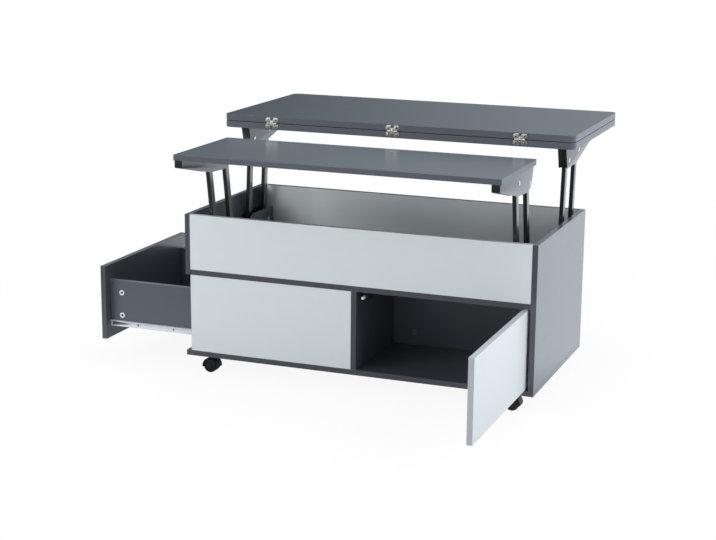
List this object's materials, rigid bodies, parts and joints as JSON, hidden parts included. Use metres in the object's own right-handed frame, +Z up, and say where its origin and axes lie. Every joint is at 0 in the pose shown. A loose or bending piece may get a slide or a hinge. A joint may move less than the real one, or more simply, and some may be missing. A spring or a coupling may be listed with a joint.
{
  "type": "convertible coffee dining table",
  "caption": "Coffee table on casters that opens as a dining table: two linked lifts raise a support top and a hinged double leaf over a storage box, with an end drawer and a push-latch door.",
  "frame": {"origin": "on the floor, under the middle of the overall box of the opened table", "axes": "+X along the front towards the door side, +Y to the back, +Z up"},
  "size_m": [1.285, 1.2544, 0.6915],
  "materials": {
    "dark_board": "satin dark grey laminate",
    "light_board": "satin light grey laminate",
    "black_steel": "satin black paint",
    "zinc_steel": "bright zinc plate",
    "nickel": "polished nickel plate",
    "white_steel": "white epoxy coat",
    "white_plastic": "moulded nylon",
    "black_plastic": "moulded nylon",
    "bumper_rubber": "soft matt"
  },
  "bodies": {
    "case": {"bottom_board": "dark_board", "right_side_panel": "dark_board", "left_side_panel": "dark_board", "middle_shelf": "dark_board", "centre_divider": "dark_board", "lower_back_panels": "dark_board", "upper_back_panel": "light_board", "upper_front_panel": "light_board", "lower_front_panel": "light_board", "front_base_brackets": "black_steel", "rear_base_brackets": "black_steel", "base_pivot_pins": "zinc_steel", "base_bracket_screws": "zinc_steel", "cabinet_rails": "white_steel", "latch_body": "black_plastic", "door_pivot_bushes": "white_plastic", "caster_plates": "zinc_steel"},
    "drawer": {"drawer_front": "dark_board", "drawer_sides": "dark_board", "drawer_back": "dark_board", "drawer_bottom": "dark_board", "drawer_rails": "white_steel", "drawer_cam_locks": "white_plastic"},
    "cabinet_rollers": {"cabinet_rollers": "white_plastic"},
    "drawer_rollers": {"drawer_rollers": "white_plastic"},
    "door": {"door_panel": "light_board", "door_pivot_pins": "zinc_steel"},
    "latch_plunger": {"latch_plunger": "white_plastic"},
    "rear_lead_arms": {"rear_lead_arm_left": "black_steel", "rear_lead_arm_right": "black_steel"},
    "rear_trail_arms": {"rear_trail_arm_left": "black_steel", "rear_trail_arm_right": "black_steel"},
    "rear_top": {"lower_leaf": "dark_board", "rear_top_bracket_left": "black_steel", "rear_top_bracket_right": "black_steel", "rear_top_pins": "zinc_steel", "lower_hinge_plates": "nickel", "leaf_hinge_pins": "zinc_steel", "lower_leaf_screws": "zinc_steel", "leaf_bumpers": "bumper_rubber"},
    "upper_leaf": {"upper_leaf": "dark_board", "upper_hinge_plates": "nickel", "upper_leaf_screws": "zinc_steel"},
    "front_lead_arms": {"front_lead_arm_left": "black_steel", "front_lead_arm_right": "black_steel"},
    "front_trail_arms": {"front_trail_arm_left": "black_steel", "front_trail_arm_right": "black_steel"},
    "front_top": {"support_top": "dark_board", "front_top_bracket_left": "black_steel", "front_top_bracket_right": "black_steel", "front_top_pins": "zinc_steel", "support_top_screws": "zinc_steel"},
    "caster_front_left": {"caster_hood_front_left": "black_plastic"},
    "caster_front_left_wheels": {"caster_wheels_front_left": "black_plastic"},
    "caster_front_right": {"caster_hood_front_right": "black_plastic"},
    "caster_front_right_wheels": {"caster_wheels_front_right": "black_plastic"},
    "caster_rear_left": {"caster_hood_rear_left": "black_plastic"},
    "caster_rear_left_wheels": {"caster_wheels_rear_left": "black_plastic"},
    "caster_rear_right": {"caster_hood_rear_right": "black_plastic"},
    "caster_rear_right_wheels": {"caster_wheels_rear_right": "black_plastic"}
  },
  "joints": [
    {"name": "rear_lift", "type": "hinge", "parent": "case", "child": "rear_lead_arms", "pos_m": [0.1275, 0.17657, 0.3425], "axis": [-1, 0, 0], "range_deg": [-80, 0]},
    {"name": "rear_trail_swing", "type": "hinge", "parent": "case", "child": "rear_trail_arms", "pos_m": [0.1275, 0.28257, 0.3565], "axis": [-1, 0, 0], "range_deg": [-80, 0]},
    {"name": "rear_top_level", "type": "hinge", "parent": "rear_lead_arms", "child": "rear_top", "pos_m": [0.1275, 0.20023, 0.61297], "axis": [-1, 0, 0], "range_deg": [0, 80]},
    {"name": "front_lift", "type": "hinge", "parent": "case", "child": "front_lead_arms", "pos_m": [0.1275, -0.11703, 0.3697], "axis": [1, 0, 0], "range_deg": [-96, 0]},
    {"name": "front_trail_swing", "type": "hinge", "parent": "case", "child": "front_trail_arms", "pos_m": [0.1275, -0.01403, 0.3517], "axis": [1, 0, 0], "range_deg": [-96, 0]},
    {"name": "front_top_level", "type": "hinge", "parent": "front_lead_arms", "child": "front_top", "pos_m": [0.1275, -0.15871, 0.60605], "axis": [1, 0, 0], "range_deg": [0, 96]},
    {"name": "leaf_fold", "type": "hinge", "parent": "rear_top", "child": "upper_leaf", "pos_m": [0.1275, 0.11473, 0.67272], "axis": [1, 0, 0], "range_deg": [0, 180]},
    {"name": "drawer_slide", "type": "slide", "parent": "case", "child": "drawer", "axis": [-1, 0, 0], "range_m": [-0.2695, 0.06]},
    {"name": "cabinet_roller_spin", "type": "hinge", "parent": "case", "child": "cabinet_rollers", "pos_m": [-0.3425, 0.08627, 0.1093], "axis": [0, -1, 0], "range_deg": [-2160, 480]},
    {"name": "drawer_roller_spin", "type": "hinge", "parent": "drawer", "child": "drawer_rollers", "pos_m": [-0.1955, 0.08627, 0.1047], "axis": [0, -1, 0], "range_deg": [-2160, 480]},
    {"name": "door_swing", "type": "hinge", "parent": "case", "child": "door", "pos_m": [0.6005, -0.16373, 0.067], "axis": [0, 0, 1], "range_deg": [-90, 20]},
    {"name": "latch_push", "type": "slide", "parent": "case", "child": "latch_plunger", "axis": [0, 1, 0], "range_m": [-0.0028, 0.0126]},
    {"name": "swivel_front_left", "type": "hinge", "parent": "case", "child": "caster_front_left", "pos_m": [-0.2965, -0.13573, 0.05], "axis": [0, 0, 1], "continuous": true},
    {"name": "roll_front_left", "type": "hinge", "parent": "caster_front_left", "child": "caster_front_left_wheels", "pos_m": [-0.3105, -0.13573, 0.019], "axis": [0, 1, 0], "continuous": true},
    {"name": "swivel_front_right", "type": "hinge", "parent": "case", "child": "caster_front_right", "pos_m": [0.5515, -0.13573, 0.05], "axis": [0, 0, 1], "continuous": true},
    {"name": "roll_front_right", "type": "hinge", "parent": "caster_front_right", "child": "caster_front_right_wheels", "pos_m": [0.5655, -0.13573, 0.019], "axis": [0, -1, 0], "continuous": true},
    {"name": "swivel_rear_left", "type": "hinge", "parent": "case", "child": "caster_rear_left", "pos_m": [-0.2965, 0.30827, 0.05], "axis": [0, 0, 1], "continuous": true},
    {"name": "roll_rear_left", "type": "hinge", "parent": "caster_rear_left", "child": "caster_rear_left_wheels", "pos_m": [-0.30919, 0.30235, 0.019], "axis": [-0.4226, 0.9063, 0], "continuous": true},
    {"name": "swivel_rear_right", "type": "hinge", "parent": "case", "child": "caster_rear_right", "pos_m": [0.5515, 0.30827, 0.05], "axis": [0, 0, 1], "continuous": true},
    {"name": "roll_rear_right", "type": "hinge", "parent": "caster_rear_right", "child": "caster_rear_right_wheels", "pos_m": [0.56466, 0.31306, 0.019], "axis": [0.342, -0.9397, 0], "continuous": true}
  ],
  "couplings": [
    {"joint": "rear_trail_swing", "follows": "rear_lift", "ratio": 1},
    {"joint": "rear_top_level", "follows": "rear_lift", "ratio": -1},
    {"joint": "front_lift", "follows": "rear_lift", "ratio": 1.2},
    {"joint": "front_trail_swing", "follows": "rear_lift", "ratio": 1.2},
    {"joint": "front_top_level", "follows": "rear_lift", "ratio": -1.2},
    {"joint": "cabinet_roller_spin", "follows": "drawer_slide", "rad_per_m": 138.89},
    {"joint": "drawer_roller_spin", "follows": "drawer_slide", "rad_per_m": 138.89},
    {"joint": "latch_push", "follows": "door_swing", "m_per_rad": -0.0079577}
  ]
}
